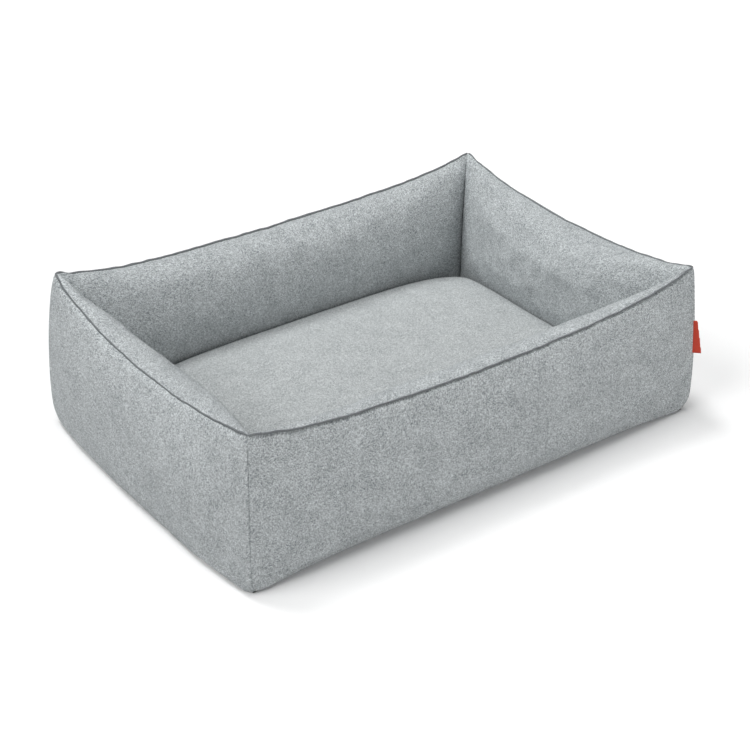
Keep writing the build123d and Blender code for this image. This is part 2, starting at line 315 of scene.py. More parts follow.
def wall_panel(wall, section, facing, offset):
    """A panel of one wall: a grid laid along the wall and down its section.

    facing is 1 for an outer panel and -1 for an inner one, and offset picks the panel's own unevenness."""
    shape = cloth_grid(120 if wall["long"] else 92, 60)
    free_share = shape.verts.layers.float.new("free")
    middle_length = run_length(section(0, wall))
    sections, cut = {}, {}
    for vert in shape.verts:
        t, share = crowd(vert.co.x, 0.9), (1 - crowd(vert.co.y, 0.8)) / 2
        if round(t, 6) not in sections:
            sections[round(t, 6)] = section(t, wall)
        n, z = point_at(sections[round(t, 6)], share)
        along, down = t * wall["length"], share * middle_length
        # The corner seam pulls both panels in softly over 6 mm, and sharply over its last 1.5 mm.
        to_corner = wall["length"] - abs(along)
        sharp_pinch = 0.0026 if facing > 0 else 0.0050
        pinch = 0.0010 * math.exp(-((to_corner / 0.006) ** 2))
        pinch += sharp_pinch * math.exp(-((to_corner / 0.0014) ** 2))
        n -= facing * pinch * min(1, 4 * share)
        if facing > 0:
            # The stitching sinks a groove under the turned edge, 1.2 mm softly and 3.6 mm in its middle.
            groove = 0.0012 * math.exp(-((down / 0.0035) ** 2))
            groove += 0.0036 * math.exp(-(((down - 0.0014) / 0.0013) ** 2))
            n -= groove * min(1, to_corner / 0.010)
            n -= lowest_corner_inset * math.exp(-((to_corner / 0.014) ** 2) - (z / 0.015) ** 2)
        # The filling is a little uneven, so the cloth swells and hollows by up to 2 mm between its seams.
        free = min(1, to_corner / 0.08) * math.sin(math.pi * share) ** 0.7
        if facing < 0:
            # The inner panel's foot is pressed between the filling and the mattress, and stays smooth.
            free *= min(1, max(0, (z - 0.100) / 0.030))
        swell = noise.noise(Vector((along * 9 + offset, down * 11, offset * 1.7)))
        ripple = noise.noise(Vector((along * 30, down * 14 + offset, offset)))
        n += facing * free * (0.0030 * swell + 0.0008 * ripple)
        cut[vert] = (along + offset, down)
        vert.co = place(wall, t, n, z)
        vert[free_share] = free
    lay_weave(shape, cut)
    # Laid on a long wall the grid's faces look out of it, and on a short wall into it.
    if (facing > 0) != wall["long"]:
        bmesh.ops.reverse_faces(shape, faces=shape.faces)
    turn_wall(shape, wall)
    return shape


def turn_wall(shape, wall):
    """Turns a piece of the front or right wall round to the back or the left."""
    turned = Matrix.Rotation(math.radians(wall["turned"]), 3, "Z")
    bmesh.ops.rotate(shape, verts=shape.verts, cent=(0, 0, 0), matrix=turned)


def settle(piece):
    """The cloth settles over its filling: held at its seams, a little slack, and pushed from behind."""
    pressure = 1.5
    slack = 0.004  # the share by which the cloth is cut too large
    cap = 0.0025  # the most that a point may move
    frames = 20
    data = piece.data
    free = [item.value for item in data.attributes["free"].data]
    start = [vert.co.copy() for vert in data.vertices]
    sewn = piece.vertex_groups.new(name="sewn")
    sewn.add([index for index, share in enumerate(free) if share < 0.04], 1.0, "REPLACE")
    cloth = piece.modifiers.new("settling", "CLOTH")
    cloth.settings.vertex_group_mass = "sewn"
    cloth.settings.quality = 5
    cloth.settings.use_pressure = True
    cloth.settings.uniform_pressure_force = pressure
    cloth.settings.shrink_min = -slack
    cloth.settings.effector_weights.gravity = 0
    cloth.collision_settings.use_collision = False
    cloth.point_cache.frame_end = frames
    for step in range(1, frames + 1):
        bpy.context.scene.frame_set(step)
    settled = piece.evaluated_get(bpy.context.evaluated_depsgraph_get()).data
    for vert, first, share, after in zip(data.vertices, start, free, settled.vertices):
        move = after.co - first
        size = max(move.length, 1e-9)
        vert.co = first + move * (min(1, share * 2) * cap * math.tanh(size / cap) / size)
    piece.modifiers.remove(cloth)
    piece.vertex_groups.remove(sewn)
    bpy.context.scene.frame_set(1)


def thicken(piece, thickness):
    """Gives a panel its cloth's thickness, on its hidden side."""
    solid = piece.modifiers.new("cloth", "SOLIDIFY")
    solid.thickness = thickness
    solid.offset = -1


# Blender's wave texture repeats every 0.314 at a scale of 1.
wave_period = 0.314


def woven(name, light, dark, fleck, contrast, weave, rib):
    """Woven polyester: matt, a soft edge sheen, yarns of many tones side by side, and a raised plain weave.

    fleck, weave and rib are in metres: the size of a fleck, the yarns' spacing and their height."""
    material, tree = new_material(name)
    cloth = add(tree, "UVMap", uv_map="UVMap")
    yarn = add(tree, "TexVoronoi", {"Vector": cloth.outputs[0], "Scale": 1 / fleck})
    tones = add(tree, "SeparateColor", {"Color": yarn.outputs["Color"]})
    # Each yarn's speck of tone, with clouds 7 mm wide and patches 40 mm wide that shift it.
    levels = {"To Min": 0.5 - contrast, "To Max": 0.5 + contrast}
    speck = add(tree, "MapRange", {"Value": tones.outputs["Red"], **levels})
    shifts = []
    for width, roughness, most in ((0.007, 0.8, 0.05), (0.040, 0.6, 0.08)):
        spots = {"Vector": cloth.outputs[0], "Scale": 1 / width, "Detail": 3.0, "Roughness": roughness}
        spread = {"Value": add(tree, "TexNoise", spots).outputs[0], "From Min": 0.3, "From Max": 0.7}
        shifts.append(add(tree, "MapRange", {**spread, "To Min": -most, "To Max": most}))
    mottle = add(tree, "Math", {0: shifts[0].outputs[0], 1: shifts[1].outputs[0]}, operation="ADD")
    mixed = add(tree, "Math", {0: speck.outputs[0], 1: mottle.outputs[0]}, operation="ADD", use_clamp=True)
    shades = {"Factor": mixed.outputs[0], "A": linear(dark), "B": linear(light)}
    colour = add(tree, "Mix", shades, data_type="RGBA")
    yarns = {"Vector": cloth.outputs[0], "Distortion": 0.6, "Detail": 1.0, "Detail Scale": 1.5}
    warp = add(tree, "TexWave", {**yarns, "Scale": wave_period / weave}, bands_direction="X")
    weft = add(tree, "TexWave", {**yarns, "Scale": wave_period / weave * 1.1}, bands_direction="Y")
    threads = add(tree, "Math", {0: warp.outputs["Fac"], 1: weft.outputs["Fac"]}, operation="ADD")
    height = add(tree, "Math", {0: threads.outputs[0], 1: tones.outputs["Red"]}, operation="ADD")
    bump = add(tree, "Bump", {"Height": height.outputs[0], "Distance": rib, "Strength": 0.6})
    shader = add(
        tree,
        "BsdfPrincipled",
        {
            "Base Color": colour.outputs["Result"],
            "Normal": bump.outputs[0],
            "Roughness": 0.92,
            "Specular IOR Level": 0.25,
            "Sheen Weight": 0.12,
            "Sheen Roughness": 0.5,
            "Sheen Tint": linear("E4E8EA"),
        },
    )
    surface(tree, shader)
    return material


# Light and dark grey yarns give the eye a fine salt-and-pepper grain. The real yarns are thinner than
# the 1.1 mm drawn here, which is the least that shows.
upholstery = woven("woven_polyester_melange", "E4E9EA", "6E7478", 0.0011, 0.42, 0.0011, 0.00035)

for number, (side, wall) in enumerate(walls.items()):
    shape = wall_panel(wall, outer_section, 1, 1.3 + number)
    panel = finish_piece(f"outer_panel_cloth_{side}", shape, upholstery, "rim")
    settle(panel)
    thicken(panel, cloth_thickness)
    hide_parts(f"outer_panel_{side}")
    height = run_length(outer_section(0, wall))

# ------------------------------
# The inner panels: the same cloth, from the top seam over the full shoulder of the wall and down
# into the well, where the foot is sewn to the base.
# ------------------------------

# Each is cut narrower towards its foot, so on average it is this much shorter than its wall.
foot_taper = 0.10
corner_lap = 0.062  # how far the panels lap into the well at the corners
inner_foot = 0.0017  # the height of their foot
crest_back = 0.017  # their highest line lies this far inside the top seam
fullest_height, fullest_drop = 0.124, 0.064  # their fullest line, and how far it drops at the corners


def inner_section(t, wall):
    """An inner panel from its top seam, up over the wall's roll and its shoulder, down to its foot."""
    n, z = seam_point(t, wall)
    loose = 1 - t * t
    crest = (n - crest_back * loose, z + wall["roll"] * loose)
    rise = [
        (n + (crest[0] - n) * share, z + (crest[1] - z) * math.sin(share * math.pi / 2))
        for share in (0, 0.2, 0.4, 0.6, 0.8)
    ]
    near = abs(t) ** 8
    fullest = (-blend(wall["lap"], corner_lap, t), fullest_height - fullest_drop * near)
    # The foot stands 12 mm back from the fullest line, and 8 mm ahead of it in the corners.
    foot = (fullest[0] + 0.012 - 0.020 * near, inner_foot)
    # Below its fullest line the wall rounds back over the mattress's edge, and then drops to the foot.
    under = [
        (
            fullest[0] + (foot[0] - fullest[0]) * (1 - math.cos(math.pi * share)) / 2,
            fullest[1] + (foot[1] - fullest[1]) * 0.6 * share,
        )
        for share in (step / 10 for step in range(1, 11))
    ]
    return rise + quarter(crest, fullest, blend(1.0, 1.25, t)) + under + [foot]


for number, (side, wall) in enumerate(walls.items()):
    shape = wall_panel(wall, inner_section, -1, 7.1 + number)
    panel = finish_piece(f"inner_panel_cloth_{side}", shape, upholstery, "rim")
    settle(panel)
    thicken(panel, cloth_thickness)
    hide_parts(f"inner_panel_{side}")
    size = (run_length(inner_section(0, wall)), 2 * wall["length"] - foot_taper)

# ------------------------------
# The top seams: the two panels' allowances turned up together and stitched into a narrow
# standing edge that runs along each wall and ends in the corner.
# ------------------------------

# The same cloth in darker tones, with the shade of its own fold painted into its colour: a thin darker line
# along the rim.
edge_cloth_painted_shade = woven("woven_polyester_edge_painted_shade", "8E9294", "54585B", 0.0010, 0.30, 0.0011, 0.0003)

ridge_lean = 0.35  # how far it leans outwards for its height
ridge_lift = 0.0012  # its middle stands this far over the panels' seam
ridge_seed = 2.7  # picks where each wall's turned edge is thick and thin


def ridge_size(t, wall, seed):
    """Half the width and half the height of the turned edge at t. It ends blunt at the corner."""
    uneven = noise.noise(Vector((t * wall["length"] * 70, seed, 0.3)))
    end = min(1, ((1 - abs(t)) * wall["length"] / 0.004 + 0.15) ** 0.5)
    return 0.0013 * (1 + 0.35 * uneven) * end, 0.0019 * (1 + 0.25 * uneven) * end


def seam_ridge(wall, columns, seed):
    """The turned edge of one wall: a bead of twelve sides that leans outwards and is a little uneven."""
    shape = cloth_grid(columns, 12)
    corner_gap = 0.0006
    cut = {}
    for vert in shape.verts:
        t, around = vert.co.x * (1 - corner_gap / wall["length"]), math.pi * vert.co.y
        along = t * wall["length"]
        width, height = ridge_size(vert.co.x, wall, seed)
        across = math.copysign(abs(math.sin(around)) ** 0.8, math.sin(around)) * width
        up = -math.cos(around) * height
        seam_n, seam_z = seam_point(t, wall)
        n = seam_n + across + ridge_lean * (up + height)
        z = seam_z + ridge_lift + up
        cut[vert] = (along + seed, around * 0.002)
        vert.co = place(wall, t, n, z)
    lay_weave(shape, cut)
    bmesh.ops.remove_doubles(shape, verts=shape.verts, dist=1e-6)
    bmesh.ops.holes_fill(shape, edges=[e for e in shape.edges if e.is_boundary], sides=0)
    turn_wall(shape, wall)
    bmesh.ops.recalc_face_normals(shape, faces=shape.faces)
    return shape


for number, (side, wall) in enumerate(walls.items()):
    shape = seam_ridge(wall, 260 if wall["long"] else 180, ridge_seed + number)
    ridge = finish_piece(f"top_seam_edge_{side}", shape, edge_cloth_painted_shade, "rim")
    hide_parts(f"top_seam_{side}")

# ------------------------------
# The stitches: a row of short lockstitches in dark polyester thread along the outer side of each
# turned edge, 3.5 mm apart, which hold both panels' allowances together.
# ------------------------------


def grained(name, pattern, dark, light, relief, finish):
    """A material without a weave: its tone and its relief follow one noise pattern through the piece."""
    material, tree = new_material(name)
    where = add(tree, "TexCoord")
    grain = add(tree, "TexNoise", {"Vector": where.outputs["Object"], **pattern})
    shades = {"Factor": grain.outputs[0], "A": linear(dark), "B": linear(light)}
    tone = add(tree, "Mix", shades, data_type="RGBA")
    bump = add(tree, "Bump", {"Height": grain.outputs[0], **relief})
    look = {"Base Color": tone.outputs["Result"], "Normal": bump.outputs[0], **finish}
    surface(tree, add(tree, "BsdfPrincipled", look))
    return material


# Spun and twisted thread: dark, a little glossier than the cloth, and rough with plies of 0.4 mm.
thread = grained(
    "twisted_polyester_thread",
    {"Scale": 1 / 0.0004, "Detail": 2.0},
    "4A4E51",
    "74797C",
    {"Distance": 0.0001, "Strength": 0.5},
    {"Roughness": 0.6, "Specular IOR Level": 0.35},
)

thread_thickness = 0.0006
stitch_pitch = 0.0035
stitch_share = 0.77  # of the pitch that a stitch covers, so 0.8 mm stays bare between two
bare_corner = 0.016  # what stays without stitches at each corner
bead = bmesh.new()
bmesh.ops.create_uvsphere(bead, u_segments=6, v_segments=4, radius=1)
stitch_bead = mesh_of("stitch_bead", bead)


def lay_copy(shape, part, placing):
    """Adds a copy of a small part's mesh to a shape, at its place."""
    copy = part.copy()
    copy.transform(placing)
    shape.from_mesh(copy)
    bpy.data.meshes.remove(copy)


def sew(shape, start, end):
    """Adds one stitch between two points: a slim bead of 6 by 4 sides."""
    run = end - start
    lay = run.to_track_quat("X", "Z").to_matrix().to_4x4()
    size = Matrix.Diagonal((run.length / 2, thread_thickness / 2, thread_thickness / 2, 1))
    lay_copy(shape, stitch_bead, Matrix.Translation((start + end) / 2) @ lay @ size)


for number, (side, wall) in enumerate(walls.items()):
    shape = bmesh.new()
    count = round(2 * (wall["length"] - bare_corner) / stitch_pitch)
    ends = []
    for step in range(2 * count):
        # Even steps start a stitch and odd ones end it.
        along = (step // 2 + (stitch_share if step % 2 else 0)) * stitch_pitch - count * stitch_pitch / 2
        t = along / wall["length"]
        width, height = ridge_size(t, wall, ridge_seed + number)
        seam_n, seam_z = seam_point(t, wall)
        ends.append(place(wall, t, seam_n + ridge_lean * height + width, seam_z + ridge_lift))
    for start, end in zip(ends[::2], ends[1::2]):
        sew(shape, start, end)
    turn_wall(shape, wall)
    finish_piece(f"top_seam_stitches_{side}", shape, thread, "rim")

# ------------------------------
# The wall fillings: loose hollow polyester fibre blown into each mitred pocket between an outer
# and an inner panel. It is white, soft and lumpy, and all of it is out of sight.
# ------------------------------

# Crimped white fibre: fully matt, with soft lumps of 12 mm and a faint halo at its edges.
fibre = grained(
    "hollow_polyester_fibre",
    {"Scale": 1 / 0.012, "Detail": 6.0, "Roughness": 0.7},
    "DDDDD8",
    "FAFAF7",
    {"Distance": 0.004, "Strength": 0.7},
    {"Roughness": 1.0, "Specular IOR Level": 0.1, "Sheen Weight": 0.3},
)

filling_gap = 0.003  # between a panel's outer face and the filling behind it
filling_floor = 0.004


def set_in(run, distance, side):
    """A section moved into the wall by a distance."""
    moved = []
    for index, point in enumerate(run):
        before, after = run[max(index - 1, 0)], run[min(index + 1, len(run) - 1)]
        across, drop = after[0] - before[0], after[1] - before[1]
        size = max(math.hypot(across, drop), 1e-9)
        moved.append((point[0] + side * distance * drop / size, point[1] - side * distance * across / size))
    return moved


def filling_section(t, wall):
    """Round the filling: down behind the outer panel, under it and up behind the inner panel."""
    front = set_in(outer_section(t, wall), filling_gap, 1)
    rear = set_in(inner_section(t, wall), filling_gap, -1)[::-1]
    front = [(n, max(z, filling_floor)) for n, z in front[1:]]
    rear = [(n, max(z, filling_floor)) for n, z in rear[:-1]]
    seam_n, seam_z = seam_point(t, wall)
    top = (seam_n, seam_z - 0.004)
    return [top] + front + rear + [top]


for side, wall in walls.items():
    shape = bmesh.new()
    bmesh.ops.create_grid(shape, x_segments=60 if wall["long"] else 44, y_segments=60, size=1)
    sections = {}
    for vert in shape.verts:
        # The fibre stops a little short of the corner seams.
        t, share = vert.co.x * 0.985, (1 - vert.co.y) / 2
        if round(t, 6) not in sections:
            sections[round(t, 6)] = filling_section(t, wall)
        n, z = point_at(sections[round(t, 6)], share)
        vert.co = place(wall, t, n, z)
    bmesh.ops.remove_doubles(shape, verts=shape.verts, dist=1e-5)
    bmesh.ops.holes_fill(shape, edges=[e for e in shape.edges if e.is_boundary], sides=0)
    turn_wall(shape, wall)
    bmesh.ops.recalc_face_normals(shape, faces=shape.faces)
    pad = finish_piece(f"wall_fibre_{side}", shape, fibre, "rim")
    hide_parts(f"wall_filling_{side}")

# ------------------------------
# The base cloth and the well's lining: a coated black cloth on the floor with rows of rubber
# dots against slipping, and a plain cloth over it on which the mattress lies.
# ------------------------------


def base_edge(wall):
    """The base cloth's edge: it follows the outer panels' base seams into the blunt lowest corners."""

    def edge(t):
        to_corner = (1 - abs(t)) * wall["length"]
        drawn_in = lowest_corner_inset * math.exp(-((to_corner / 0.014) ** 2))
        return -blend(wall["tuck"], corner_tuck, t) - drawn_in

    return edge


def well_edge(wall):
    """The lining's edge, 3 mm inside the inner panels' feet."""
    return lambda t: -blend(wall["lap"], corner_lap, t) + blend(0.008, -0.008, t) - 0.003


def flat_panel(long_edge, short_edge, height, columns, rows):
    """A grid whose four sides follow an edge line along the long and the short walls."""
    shape = cloth_grid(columns, rows)
    for vert in shape.verts:
        u, v = vert.co.x, vert.co.y
        vert.co = (u * (half_length + short_edge(v)), v * (half_width + long_edge(u)), height(u, v))
    lay_weave(shape, {vert: vert.co.xy for vert in shape.verts})
    return shape


# Plain weave under a thin rubbery coat: near black, smoother than the upholstery, a little cloudy with wear.
coated, tree = new_material("coated_polyester_base_cloth")
cloth = add(tree, "UVMap", uv_map="UVMap")
yarns = {"Vector": cloth.outputs[0], "Scale": wave_period / 0.0009, "Distortion": 0.4}
warp = add(tree, "TexWave", yarns, bands_direction="X")
weft = add(tree, "TexWave", yarns, bands_direction="Y")
both = add(tree, "Math", {0: warp.outputs["Fac"], 1: weft.outputs["Fac"]}, operation="ADD")
wear = add(tree, "TexNoise", {"Vector": cloth.outputs[0], "Scale": 1 / 0.06, "Detail": 4.0})
shades = {"Factor": wear.outputs[0], "A": linear("26282A"), "B": linear("383B3E")}
dark = add(tree, "Mix", shades, data_type="RGBA")
grain = add(tree, "Bump", {"Height": both.outputs[0], "Distance": 0.0002, "Strength": 0.5})
finish = {"Base Color": dark.outputs["Result"], "Normal": grain.outputs[0], "Roughness": 0.62}
surface(tree, add(tree, "BsdfPrincipled", {**finish, "Specular IOR Level": 0.4}))

base_level, base_thickness = 0.0012, 0.0007
shape = flat_panel(base_edge(long_cut), base_edge(short_cut), lambda u, v: base_level, 60, 42)
base = finish_piece("base_cloth_sheet", shape, coated, "rim")
thicken(base, base_thickness)
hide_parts("base_panel")

# Rubber dots against slipping, printed on the base cloth: black, dull and faintly grainy.
rubber = grained(
    "printed_rubber_dots",
    {"Scale": 1 / 0.0015, "Detail": 3.0},
    "1D1E1F",
    "2C2D2F",
    {"Distance": 0.0001, "Strength": 0.4},
    {"Roughness": 0.8, "IOR": 1.52},
)

dot_pitch, dot_radius, dot_foot_radius, dot_height = 0.020, 0.0035, 0.0025, 0.0006
drop = bmesh.new()
bmesh.ops.create_cone(
    drop,
    cap_ends=True,
    cap_tris=False,
    segments=10,
    radius1=dot_foot_radius,
    radius2=dot_radius,
    depth=dot_height,
)
rubber_drop = mesh_of("rubber_drop", drop)
shape = bmesh.new()
for column in range(-18, 19):
    for row in range(-11, 12):
        spot = (column * dot_pitch, row * dot_pitch, dot_height / 2)
        lay_copy(shape, rubber_drop, Matrix.Translation(spot))
finish_piece("base_rubber_dots", shape, rubber, "rim")

# A plain, closer weave without the melange: one quiet mid grey.
lining_level, lining_thickness = 0.0026, 0.0008
lining_cloth = woven("plain_polyester_lining", "A4A8AA", "83888B", 0.0016, 0.30, 0.0009, 0.0002)
shape = flat_panel(
    well_edge(long_cut),
    well_edge(short_cut),
    lambda u, v: lining_level + 0.0001 * noise.noise(Vector((u * 8, v * 6, 2.2))),
    64,
    44,
)
lining = finish_piece("well_lining_sheet", shape, lining_cloth, "rim")
thicken(lining, lining_thickness)
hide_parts("well_lining")

# ------------------------------
# The mattress: a loose cushion whose cover has a top panel and an underside, sewn together
# round the edge. It is cut a little larger than the well, so the walls pull its sides in.
# ------------------------------

mattress_seam, mattress_crown, mattress_bottom = 0.042, 0.100, 0.0032
mattress_corner = -0.0735
cover_thickness = 0.0012
# The right wall leans further into the well than the left one and pushes the mattress's end in.
right_push = 0.006
# The same cloth as the walls', a little lighter and with less contrast, as it lies flat to the light.
cover_cloth = woven("woven_polyester_melange_top", "D4D8D8", "8E9395", 0.0011, 0.5, 0.0011, 0.0003)


def mattress_long_edge(t):
    """How far the sewn edge lies from the base rectangle's long sides."""
    return blend(-0.0774, mattress_corner, t)


def mattress_short_edge(t):
    """How far the sewn edge lies from the base rectangle's short sides."""
    return blend(-0.0854, mattress_corner, t)


def edge_x(u, v):
    """The sewn edge's place along the bed, for a point of the mattress's grid."""
    return u * (half_length + mattress_short_edge(v)) - right_push * max(u, 0) * (1 - abs(v) ** 3)


def crown(u, v):
    """Height of the top panel: steep at its sides, nearly level in the middle and low in the corners."""
    side = max(1 - abs(u) ** 11, 0) ** 0.07 * max(1 - abs(v) ** 9, 0) ** 0.07
    corner = (1 - 0.68 * abs(u) ** 4 * abs(v) ** 4) * (0.76 + 0.24 * (1 - abs(u) ** 3) * (1 - abs(v) ** 3))
    sag = 0.0012 * noise.noise(Vector((u * 3.1, v * 2.3, 5.5)))
    return mattress_seam + (mattress_crown - mattress_seam + sag) * side * corner


def underside(u, v):
    """Height of the underside panel: flat on the lining and turned up at its sides."""
    edge = max(1 - abs(u) ** 8, 0) ** 0.5 * max(1 - abs(v) ** 8, 0) ** 0.5
    return mattress_seam - (mattress_seam - mattress_bottom) * edge


def cloth_lengths(shape, columns):
    """Where each point of a grid lies on its flat cloth, measured along the cloth from the grid's middle."""
    verts = shape.verts[:]
    grid = [verts[start : start + columns + 1] for start in range(0, len(verts), columns + 1)]
    cut = {vert: [0.0, 0.0] for vert in verts}
    for axis, lines in enumerate((grid, zip(*grid))):
        for line in lines:
            run = [0.0]
            for first, second in zip(line, line[1:]):
                run.append(run[-1] + (second.co - first.co).length)
            for vert, step in zip(line, run):
                cut[vert][axis] = step - run[len(run) // 2]
    return cut


def crowded_panel(height, columns, rows, bulge=0.0):
    """A mattress panel whose grid is closest at its sewn edge, and whose sides bulge past that edge."""
    shape = cloth_grid(columns, rows)
    free_share = shape.verts.layers.float.new("free")
    for vert in shape.verts:
        u, v = crowd(vert.co.x, 0.9), crowd(vert.co.y, 0.9)
        z = height(u, v)
        rise = (z - mattress_seam) / (mattress_crown - mattress_seam)
        past_edge = 4 * bulge * rise * (1 - rise)
        vert.co = (edge_x(u, v) + u * past_edge, v * (half_width + mattress_long_edge(u) + past_edge), z)
        vert[free_share] = max(0, min(1, (1 - max(abs(u), abs(v))) / 0.15 - 0.3))
    lay_weave(shape, cloth_lengths(shape, columns))
    return shape


shape = crowded_panel(crown, 150, 110, 0.0020)
top_panel = finish_piece("mattress_top_cloth", shape, cover_cloth, "mattress")
settle(top_panel)
thicken(top_panel, cover_thickness)
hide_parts("mattress_top_panel")

# The underside has a sunk channel for the zip, with a slot in its roof that the tapes are sewn over.
zip_y, channel_roof = 0.090, 0.0102
channel_half_width, channel_half_length = 0.0130, 0.2246
channel_slope = 0.0015  # the width over which its walls rise
slot_half_width, slot_half_length = 0.0050, 0.2222

shape = crowded_panel(underside, 120, 90)
lengths = (channel_half_length, channel_half_length - channel_slope, slot_half_length)
widths = (channel_half_width, channel_half_width - channel_slope, slot_half_width)
cuts = [((sign * x, 0, 0), (1, 0, 0)) for x in lengths for sign in (-1, 1)]
cuts += [((0, zip_y + sign * y, 0), (0, 1, 0)) for y in widths for sign in (-1, 1)]
for point, across in cuts:
    everything = shape.verts[:] + shape.edges[:] + shape.faces[:]
    bmesh.ops.bisect_plane(shape, geom=everything, dist=1e-6, plane_co=point, plane_no=across)
raised = {}
for vert in shape.verts:
    inside = min(channel_half_width - abs(vert.co.y - zip_y), channel_half_length - abs(vert.co.x))
    raised[vert] = (channel_roof - mattress_bottom) * min(max(inside / channel_slope, 0), 1)
    vert.co.z += raised[vert]
# The weave follows the cloth up the channel's walls.
uv = shape.loops.layers.uv["UVMap"]
for face in shape.faces:
    middle = face.calc_center_median()
    at_end = abs(middle.x) > channel_half_length - channel_slope
    axis, way = (0, middle.x) if at_end else (1, middle.y - zip_y)
    for loop in face.loops:
        spot = loop[uv].uv.copy()
        spot[axis] -= math.copysign(raised[loop.vert], way)
        loop[uv].uv = spot
slot_faces = []
for face in shape.faces:
    middle = face.calc_center_median()
    if abs(middle.x) < slot_half_length and abs(middle.y - zip_y) < slot_half_width:
        slot_faces.append(face)
bmesh.ops.delete(shape, geom=slot_faces, context="FACES")
bmesh.ops.reverse_faces(shape, faces=shape.faces)
under_panel = finish_piece("mattress_underside_cloth", shape, cover_cloth, "mattress")
thicken(under_panel, cover_thickness)
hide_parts("mattress_underside")

# Its filling is the walls' loose fibre, in two halves joined at the height of the edge seam.
shape = crowded_panel(lambda u, v: crown(u, v) - filling_gap, 90, 66)
lower = crowded_panel(lambda u, v: underside(u, v) + filling_gap, 90, 66)
for vert in lower.verts:
    # The fibre gives way over the zip.
    over_zip = math.exp(-(((vert.co.y - zip_y) / 0.027) ** 4) - (vert.co.x / 0.275) ** 8)
    vert.co.z = max(vert.co.z, 0.0165 * over_zip)
for half in (shape, lower):
    bmesh.ops.scale(half, verts=half.verts, vec=(0.985, 0.98, 1))
    for vert in half.verts:
        vert.co.z = max(vert.co.z, mattress_seam) if half is shape else min(vert.co.z, mattress_seam)
bmesh.ops.reverse_faces(lower, faces=lower.faces)
shape.from_mesh(mesh_of("filling_lower_half", lower))
bmesh.ops.remove_doubles(shape, verts=shape.verts, dist=1e-5)
core = finish_piece("mattress_fibre_core", shape, fibre, "mattress")
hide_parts("mattress_filling")

# ------------------------------
# The mattress's edge seam: the cover's two panels are sewn together round the edge, with the
# allowances turned outwards into a narrow flat flange and one row of stitches on top of it.
# ------------------------------


def edge_point(around):
    """The sewn edge at around, from 0 to 4: one for each side, from the front left corner on."""
    side, share = int(around) % 4, (around % 1) * 2 - 1
    u, v = ((share, -1), (1, share), (-share, 1), (-1, -share))[side]
    return Vector((edge_x(u, v), v * (half_width + mattress_long_edge(u)), mattress_seam))


def edge_frame(around):
    """The edge's point and its direction outwards, level and square to the seam."""
    ahead, behind = edge_point(around + 0.004), edge_point(around - 0.004)
    run = (ahead - behind).normalized()
    return edge_point(around), Vector((run.y, -run.x, 0))


flange_half_width, flange_half_height = 0.0016, 0.0009
shape = cloth_grid(420, 8)
cut = {}
for vert in shape.verts:
    around, turned = (vert.co.x + 1) * 2, math.pi * vert.co.y
    point, outwards = edge_frame(around % 4)
    uneven = 1 + 0.2 * noise.noise(Vector((point.x * 40, point.y * 40, 1.9)))
    out = flange_half_width * uneven * (0.6 + math.cos(turned))
    cut[vert] = (around * 0.5, turned * 0.002)
    vert.co = point + outwards * out + Vector((0, 0, flange_half_height * math.sin(turned)))
lay_weave(shape, cut)
bmesh.ops.remove_doubles(shape, verts=shape.verts, dist=1e-6)
bmesh.ops.recalc_face_normals(shape, faces=shape.faces)
# The flange wears the darker edge cloth, whose tones are painted shade of the fold.
flange = finish_piece("mattress_edge_flange", shape, edge_cloth_painted_shade, "mattress")
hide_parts("mattress_edge_seam")

shape = bmesh.new()
edge_stitches = 520
for step in range(edge_stitches):
    start, outwards = edge_frame(4 * step / edge_stitches)
    end, _ = edge_frame(4 * (step + stitch_share) / edge_stitches)
    on_top = outwards * 0.0012 + Vector((0, 0, flange_half_height))
    sew(shape, start + on_top, end + on_top)
finish_piece("mattress_edge_stitches", shape, thread, "mattress")

# ------------------------------
# The zip: two woven tapes sewn over the slot, each with a moulded polyester coil along its inner
# edge. The stops, the slider and its pull are cast zinc with a nickel plating.
# ------------------------------

# Herringbone tape: a close diagonal rib every 0.8 mm, grey and matt.
tape_cloth, tree = new_material("woven_polyester_zip_tape")
cloth = add(tree, "UVMap", uv_map="UVMap")
herringbone = {"Vector": cloth.outputs[0], "Scale": wave_period / 0.0008, "Distortion": 0.3}
rib = add(tree, "TexWave", herringbone, bands_direction="DIAGONAL")
shade = add(tree, "TexNoise", {"Vector": cloth.outputs[0], "Scale": 1 / 0.003, "Detail": 3.0})
shades = {"Factor": shade.outputs[0], "A": linear("5F6467"), "B": linear("868C8F")}
grey = add(tree, "Mix", shades, data_type="RGBA")
ribs = add(tree, "Bump", {"Height": rib.outputs["Fac"], "Distance": 0.0002, "Strength": 0.6})
finish = {"Base Color": grey.outputs["Result"], "Normal": ribs.outputs[0], "Roughness": 0.85}
surface(tree, add(tree, "BsdfPrincipled", finish))

# Drawn and moulded monofilament: smooth grey plastic with a clear highlight on each turn.
coil_plastic = grained(
    "moulded_polyester_coil",
    {"Scale": 1 / 0.006, "Detail": 2.0},
    "6A6F72",
    "7B8083",
    {"Distance": 0.00005, "Strength": 0.4},
    {"Roughness": 0.38, "IOR": 1.57},
)

# Tumbled castings under bright nickel: a warm silver, softly glossy, with a fine orange-peel of 0.8 mm.
plated_zinc, tree = new_material("nickel_plated_cast_zinc")
where = add(tree, "TexCoord")
pattern = {"Vector": where.outputs["Object"], "Scale": 1 / 0.0008, "Detail": 4.0, "Roughness": 0.7}
grain = add(tree, "TexNoise", pattern)
shine = add(tree, "MapRange", {"Value": grain.outputs[0], "To Min": 0.22, "To Max": 0.38})
shades = {"Factor": grain.outputs[0], "A": linear("A9AAA8"), "B": linear("C4C5C3")}
plate = add(tree, "Mix", shades, data_type="RGBA")
pits = add(tree, "Bump", {"Height": grain.outputs[0], "Distance": 0.00004, "Strength": 0.4})
finish = {"Base Color": plate.outputs["Result"], "Normal": pits.outputs[0], "Roughness": shine.outputs[0]}
surface(tree, add(tree, "BsdfPrincipled", {**finish, "Metallic": 1.0}))

